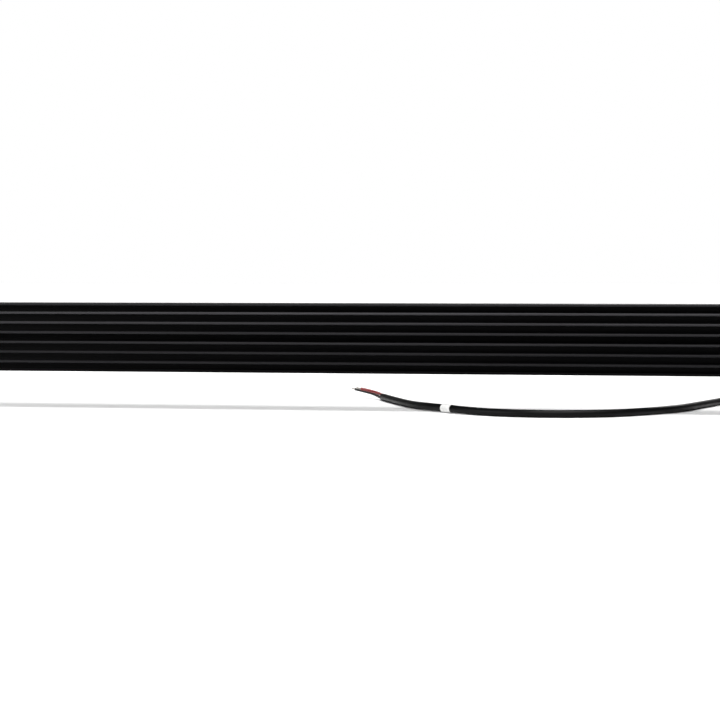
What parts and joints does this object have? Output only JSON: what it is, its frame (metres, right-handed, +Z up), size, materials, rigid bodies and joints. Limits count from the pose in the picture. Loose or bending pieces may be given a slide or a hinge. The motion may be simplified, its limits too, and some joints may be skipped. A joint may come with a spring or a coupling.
{
  "type": "led light bar",
  "caption": "Straight double-row LED light bar in a finned black housing with a clear lens, on two tilting end feet, with a loose bare-ended supply cord.",
  "frame": {"origin": "on the ground plane under the two feet, midway along the bar and in the middle of its depth", "axes": "+X along the bar, the cord gland is at the -X end; the lens faces -Y and the cooling fins face +Y; +Z up"},
  "size_m": [1.4163, 0.3051, 0.121],
  "materials": {
    "black_aluminium": "black anodised, satin",
    "black_foot_steel": "black powder coat, satin",
    "clear_polycarbonate": "clear, glossy",
    "black_rubber": "matte",
    "white_board": "white solder mask with phosphor-yellow packages",
    "green_board": "green solder mask",
    "chromed_plastic": "mirror-bright",
    "black_steel": "black oxide",
    "steel": "plain stainless",
    "black_plastic": "moulded nylon, matte",
    "cord_black": "smooth, slightly glossy",
    "white_vinyl": "plain white band",
    "core_red": "smooth insulation",
    "tinned_copper": "stranded, tinned"
  },
  "bodies": {
    "bar": {"housing": "black_aluminium", "lens": "clear_polycarbonate", "lens_seal_top": "black_rubber", "lens_seal_bottom": "black_rubber", "led_board_1": "white_board", "led_board_2": "white_board", "led_board_3": "white_board", "led_board_4": "white_board", "led_board_5": "white_board", "led_board_6": "white_board", "reflector_1": "chromed_plastic", "reflector_2": "chromed_plastic", "reflector_3": "chromed_plastic", "reflector_4": "chromed_plastic", "reflector_5": "chromed_plastic", "reflector_6": "chromed_plastic", "driver_board_upper": "green_board", "driver_board_lower": "green_board", "end_cap_left": "black_aluminium", "end_gasket_left": "black_rubber", "cap_screw_left_1": "black_steel", "cap_screw_left_2": "black_steel", "cap_screw_left_3": "black_steel", "cap_screw_left_4": "black_steel", "friction_washer_left": "black_plastic", "pivot_washer_left": "steel", "spring_washer_left": "steel", "pivot_bolt_left": "steel", "lock_washer_left": "steel", "lock_screw_left": "steel", "end_cap_right": "black_aluminium", "end_gasket_right": "black_rubber", "cap_screw_right_1": "black_steel", "cap_screw_right_2": "black_steel", "cap_screw_right_3": "black_steel", "cap_screw_right_4": "black_steel", "friction_washer_right": "black_plastic", "pivot_washer_right": "steel", "spring_washer_right": "steel", "pivot_bolt_right": "steel", "lock_washer_right": "steel", "lock_screw_right": "steel", "gland_ring": "black_rubber", "gland_body": "black_plastic", "gland_sleeve": "black_rubber", "gland_nut": "black_plastic", "vent_ring": "black_rubber", "vent_plug": "black_plastic", "cord_jacket": "cord_black", "marker_band": "white_vinyl", "core_red": "core_red", "core_black": "cord_black", "tip_red": "tinned_copper", "tip_black": "tinned_copper", "lead_red": "core_red", "lead_black": "cord_black"},
    "foot_left": {"foot_left": "black_foot_steel"},
    "foot_right": {"foot_right": "black_foot_steel"}
  },
  "joints": [
    {"name": "foot_left_tilt", "type": "hinge", "parent": "bar", "child": "foot_left", "pos_m": [-0.6432, 0, 0.081], "axis": [1, 0, 0], "range_deg": [-35, 35]},
    {"name": "foot_right_tilt", "type": "hinge", "parent": "bar", "child": "foot_right", "pos_m": [0.6432, 0, 0.081], "axis": [1, 0, 0], "range_deg": [-35, 35]}
  ]
}
